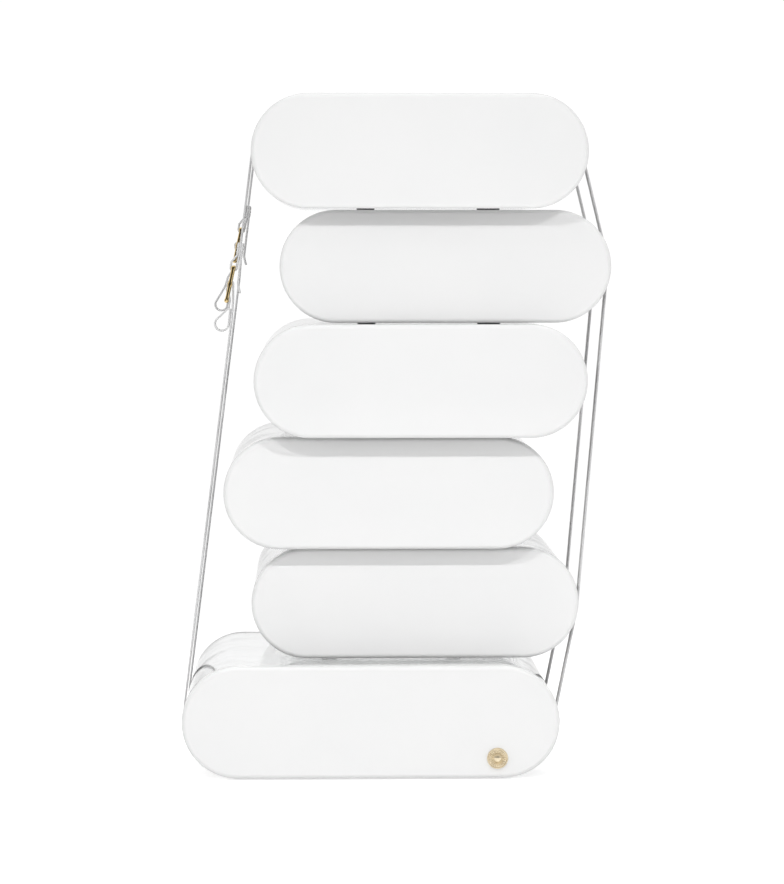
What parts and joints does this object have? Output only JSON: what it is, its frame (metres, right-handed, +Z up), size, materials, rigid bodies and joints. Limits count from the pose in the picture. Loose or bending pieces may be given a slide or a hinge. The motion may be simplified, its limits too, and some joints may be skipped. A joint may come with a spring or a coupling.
{
  "type": "desk organizer",
  "caption": "Tall staggered stack of pill-shaped drawer boxes, glossy white fronts on clear sliding trays in clear sleeves, bound together by two buckled straps.",
  "frame": {"origin": "middle of the bounding box's footprint, on the desk under the feet", "axes": "+Z up, -Y out of the drawer fronts, +X to the right seen from the front"},
  "size_m": [0.2438, 0.2092, 0.385],
  "materials": {
    "gloss_white": "polished white lacquered acrylic",
    "clear_acrylic": "clear polished",
    "pad_rubber": "matte",
    "strap_white": "smooth satin",
    "buckle_gold": "polished",
    "badge_gold": "polished with a matte field"
  },
  "bodies": {
    "stack": {"sleeve_1": "clear_acrylic", "rear_panel_1": "clear_acrylic", "sleeve_2": "clear_acrylic", "rear_panel_2": "clear_acrylic", "sleeve_3": "clear_acrylic", "rear_panel_3": "clear_acrylic", "sleeve_4": "clear_acrylic", "rear_panel_4": "clear_acrylic", "sleeve_5": "clear_acrylic", "rear_panel_5": "clear_acrylic", "sleeve_6": "clear_acrylic", "rear_panel_6": "clear_acrylic", "stacking_pads_1": "pad_rubber", "stacking_pads_2": "pad_rubber", "stacking_pads_3": "pad_rubber", "stacking_pads_4": "pad_rubber", "stacking_pads_5": "pad_rubber", "base_feet": "pad_rubber", "front_strap": "strap_white", "front_pull_loop": "strap_white", "front_backing_tab": "strap_white", "front_buckle": "buckle_gold", "rear_strap": "strap_white", "rear_pull_loop": "strap_white", "rear_backing_tab": "strap_white", "rear_buckle": "buckle_gold"},
    "drawer_1": {"drawer_front_1": "gloss_white", "drawer_tray_1": "clear_acrylic", "badge": "badge_gold"},
    "drawer_2": {"drawer_front_2": "gloss_white", "drawer_tray_2": "clear_acrylic"},
    "drawer_3": {"drawer_front_3": "gloss_white", "drawer_tray_3": "clear_acrylic"},
    "drawer_4": {"drawer_front_4": "gloss_white", "drawer_tray_4": "clear_acrylic"},
    "drawer_5": {"drawer_front_5": "gloss_white", "drawer_tray_5": "clear_acrylic"},
    "drawer_6": {"drawer_front_6": "gloss_white", "drawer_tray_6": "clear_acrylic"}
  },
  "joints": [
    {"name": "drawer_1_slide", "type": "slide", "parent": "stack", "child": "drawer_1", "axis": [0, -1, 0], "range_m": [0, 0.115]},
    {"name": "drawer_2_slide", "type": "slide", "parent": "stack", "child": "drawer_2", "axis": [0, -1, 0], "range_m": [0, 0.115]},
    {"name": "drawer_3_slide", "type": "slide", "parent": "stack", "child": "drawer_3", "axis": [0, -1, 0], "range_m": [0, 0.115]},
    {"name": "drawer_4_slide", "type": "slide", "parent": "stack", "child": "drawer_4", "axis": [0, -1, 0], "range_m": [0, 0.115]},
    {"name": "drawer_5_slide", "type": "slide", "parent": "stack", "child": "drawer_5", "axis": [0, -1, 0], "range_m": [0, 0.115]},
    {"name": "drawer_6_slide", "type": "slide", "parent": "stack", "child": "drawer_6", "axis": [0, -1, 0], "range_m": [0, 0.115]}
  ]
}
